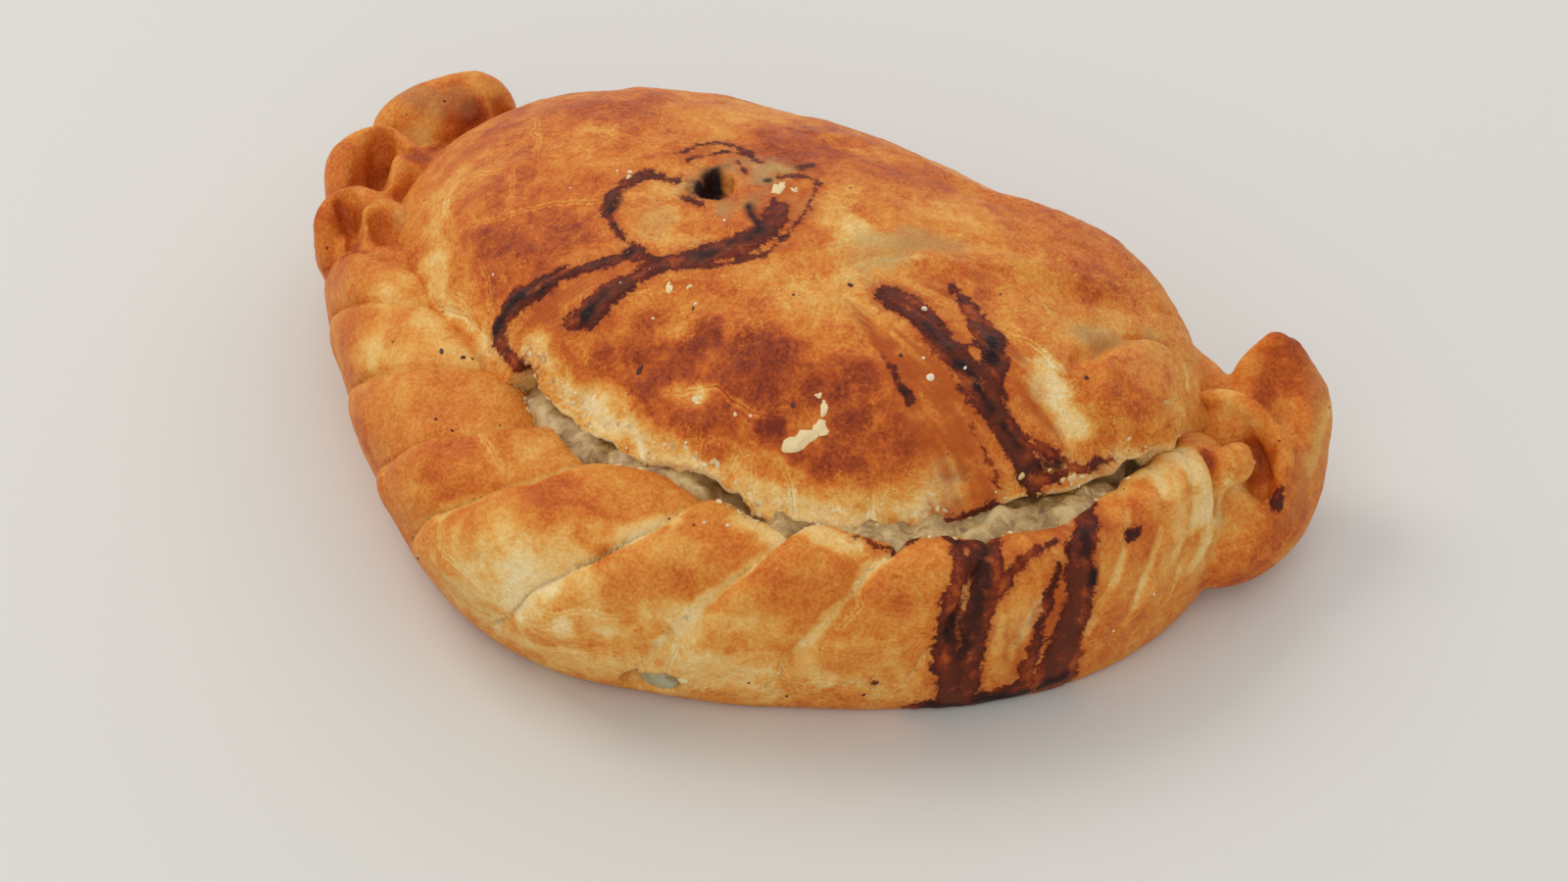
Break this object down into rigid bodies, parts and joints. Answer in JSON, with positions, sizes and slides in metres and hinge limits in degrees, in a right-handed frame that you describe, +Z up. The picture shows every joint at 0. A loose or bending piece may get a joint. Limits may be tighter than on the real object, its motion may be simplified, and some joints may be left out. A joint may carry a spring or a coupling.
{
  "type": "cornish pasty",
  "caption": "Baked half-moon pasty with a rope-crimped curved edge, a standing tab, a twisted horn, a burst seam and a domed lid, resting on a flat base.",
  "frame": {"origin": "middle of the flat underside, under the centre of the whole pasty", "axes": "+X along the pasty from the tab to the horn, -Y towards the crimped curved side, +Z up"},
  "size_m": [0.1989, 0.135, 0.055],
  "materials": {
    "crust": "satin",
    "filling": "satin",
    "onion": "gloss",
    "juice": "gloss"
  },
  "bodies": {
    "root": {"crust": "crust", "filling": "filling", "onion_piece": "onion"}
  },
  "joints": []
}
